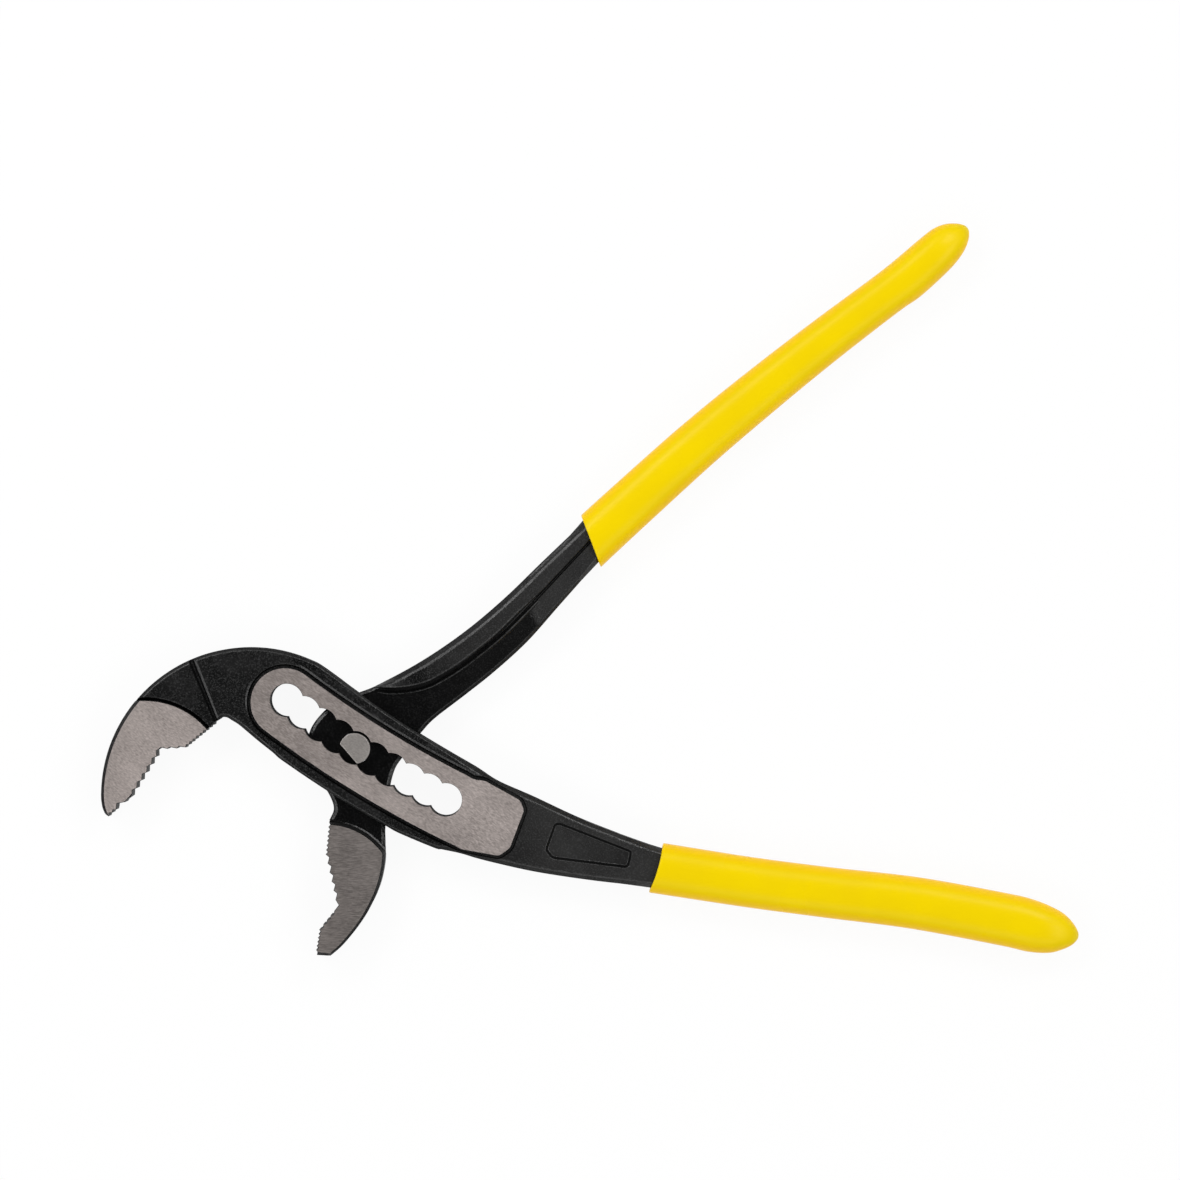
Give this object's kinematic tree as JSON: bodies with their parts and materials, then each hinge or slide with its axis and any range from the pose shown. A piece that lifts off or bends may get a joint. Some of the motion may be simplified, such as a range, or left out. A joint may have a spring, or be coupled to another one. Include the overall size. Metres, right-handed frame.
{
  "type": "water pump pliers",
  "caption": "Box-joint water pump pliers: a hooked toothed jaw, a moving toothed jaw that slides and swings in a curved lobed slot on a flatted pin, and two dipped vinyl grips.",
  "frame": {"origin": "centre of the joint pin, on the side that the tool lies on", "axes": "+X from the head towards the handles' ends, +Y towards the inner handle's side, +Z along the joint pin, away from the surface"},
  "size_m": [0.3071, 0.23, 0.014],
  "materials": {
    "forged_black": "black forged skin with ground jaw faces and cheeks",
    "ground_steel": "ground steel with fine lines",
    "yellow_vinyl": "glossy dipped vinyl"
  },
  "bodies": {
    "outer": {"outer_handle": "forged_black", "outer_grip": "yellow_vinyl"},
    "pin": {"joint_pin": "ground_steel"},
    "inner": {"inner_handle": "forged_black", "inner_grip": "yellow_vinyl"}
  },
  "joints": [
    {"name": "setting", "type": "hinge", "parent": "outer", "child": "pin", "pos_m": [0.18157, 0.28391, 0.007], "axis": [0, 0, 1], "range_deg": [-4.45, 5.56]},
    {"name": "opening", "type": "hinge", "parent": "pin", "child": "inner", "pos_m": [0, 0, 0.007], "axis": [0, 0, 1], "range_deg": [-40, 14]}
  ]
}
